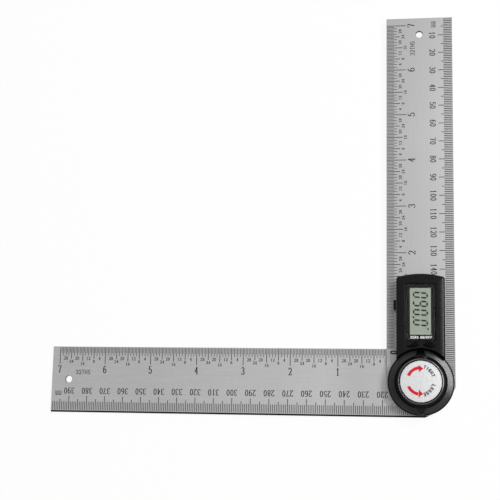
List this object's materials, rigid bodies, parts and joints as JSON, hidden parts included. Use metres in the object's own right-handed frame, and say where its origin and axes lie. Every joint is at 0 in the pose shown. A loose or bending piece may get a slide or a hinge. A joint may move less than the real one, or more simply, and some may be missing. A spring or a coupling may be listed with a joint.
{
  "type": "angle finder with arms",
  "caption": "Digital angle finder: two steel rules turn on one pivot under a lock knob, with a display module that shows the angle between them.",
  "frame": {"origin": "on the pivot axis, in the back face of the pivot stud that the tool rests on", "axes": "+Z out of the display face along the pivot axis, -X along the lower rule to its tip, +Y along the upper rule to its tip with the rules a right angle apart"},
  "size_m": [0.2178, 0.2178, 0.0185],
  "materials": {
    "rule_steel": "fine satin, brushed along the rule",
    "bright_steel": "turned and polished",
    "brass": "turned",
    "housing_plastic": "satin black, fine spark texture",
    "knob_plastic": "satin black moulding",
    "button_plastic": "satin black",
    "lens_clear": "clear and polished",
    "display_glass": "grey-green reflective display",
    "label_silver": "satin silver label",
    "white_nylon": "plain",
    "board_green": "solder mask",
    "amber_film": "polyimide film",
    "chip_black": "moulded",
    "silicone_grey": "silicone rubber",
    "scale_ink": "etched and filled dark",
    "print_white": "screen print",
    "print_black": "screen print",
    "arrow_red": "screen print",
    "display_ink": "display segments"
  },
  "bodies": {
    "lower_arm": {"lower_blade": "rule_steel", "pivot_stud": "bright_steel", "friction_washer": "white_nylon", "rotor_hub": "bright_steel", "encoder_rotor": "board_green"},
    "upper_arm": {"upper_blade": "rule_steel", "pivot_bush": "brass", "base_cover": "housing_plastic", "front_housing": "housing_plastic", "display_lens": "lens_clear", "lcd_panel": "display_glass", "lcd_frame": "white_nylon", "contact_strip": "silicone_grey", "main_board": "board_green", "driver_chip": "chip_black", "sensor_ribbon": "amber_film", "encoder_stator": "board_green", "button_pad": "silicone_grey", "negative_contact": "bright_steel", "positive_contact": "bright_steel", "module_screw_1": "bright_steel", "module_screw_2": "bright_steel", "module_screw_3": "bright_steel", "module_screw_4": "bright_steel"},
    "cell_drawer": {"battery_tray": "housing_plastic", "coin_cell": "bright_steel"},
    "zero_key": {"zero_button": "button_plastic"},
    "power_key": {"on_off_button": "button_plastic"},
    "knob_thrust": {"knob_washer": "bright_steel"},
    "knob": {"lock_knob": "knob_plastic", "knob_insert": "brass", "knob_label": "label_silver"}
  },
  "joints": [
    {"name": "blade_pivot", "type": "hinge", "parent": "lower_arm", "child": "upper_arm", "pos_m": [0, 0, 0.00445], "axis": [0, 0, 1], "continuous": true},
    {"name": "knob_rise", "type": "slide", "parent": "lower_arm", "child": "knob_thrust", "axis": [0, 0, 1], "range_m": [0, 0.0004]},
    {"name": "knob_turn", "type": "hinge", "parent": "knob_thrust", "child": "knob", "pos_m": [0, 0, 0.0145], "axis": [0, 0, 1], "range_deg": [0, 180]},
    {"name": "tray_slide", "type": "slide", "parent": "upper_arm", "child": "cell_drawer", "axis": [-1, 0, 0], "range_m": [0, 0.0218]},
    {"name": "zero_button_press", "type": "slide", "parent": "upper_arm", "child": "zero_key", "axis": [0, 0, -1], "range_m": [0, 0.0004], "stiffness_N_per_m": 600},
    {"name": "on_off_button_press", "type": "slide", "parent": "upper_arm", "child": "power_key", "axis": [0, 0, -1], "range_m": [0, 0.0004], "stiffness_N_per_m": 600}
  ],
  "couplings": [
    {"joint": "knob_turn", "follows": "knob_rise", "rad_per_m": 7854}
  ]
}
